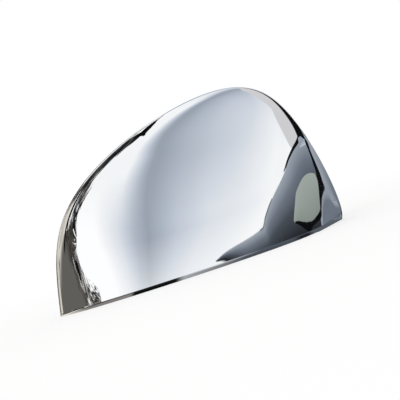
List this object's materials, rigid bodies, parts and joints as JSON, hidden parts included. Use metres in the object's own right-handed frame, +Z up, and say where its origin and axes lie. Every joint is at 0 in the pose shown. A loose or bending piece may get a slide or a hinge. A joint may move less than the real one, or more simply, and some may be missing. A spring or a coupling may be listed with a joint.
{
  "type": "wing mirror cover",
  "caption": "Smooth domed wing mirror cover: a thin chrome-plated shell with a straight lower edge between pointed tips, taped over the housing of a car's door mirror.",
  "frame": {"origin": "on the plane of the lower edge, under the middle of the bounding box", "axes": "+X from the long pointed end to the high end, front of the dome facing -Y, +Z up from the lower edge"},
  "size_m": [0.2228, 0.0636, 0.1211],
  "materials": {
    "chrome_plating": "bright decorative chrome on moulded ABS",
    "tape_foam": "dark grey closed-cell acrylic foam",
    "release_liner": "red film, peeled off before fitting"
  },
  "bodies": {
    "root": {"cover_shell": "chrome_plating", "foam_tape_left": "tape_foam", "foam_tape_top": "tape_foam", "foam_tape_right": "tape_foam", "foam_tape_lower": "tape_foam", "tape_liner_left": "release_liner", "tape_liner_top": "release_liner", "tape_liner_right": "release_liner", "tape_liner_lower": "release_liner"}
  },
  "joints": []
}
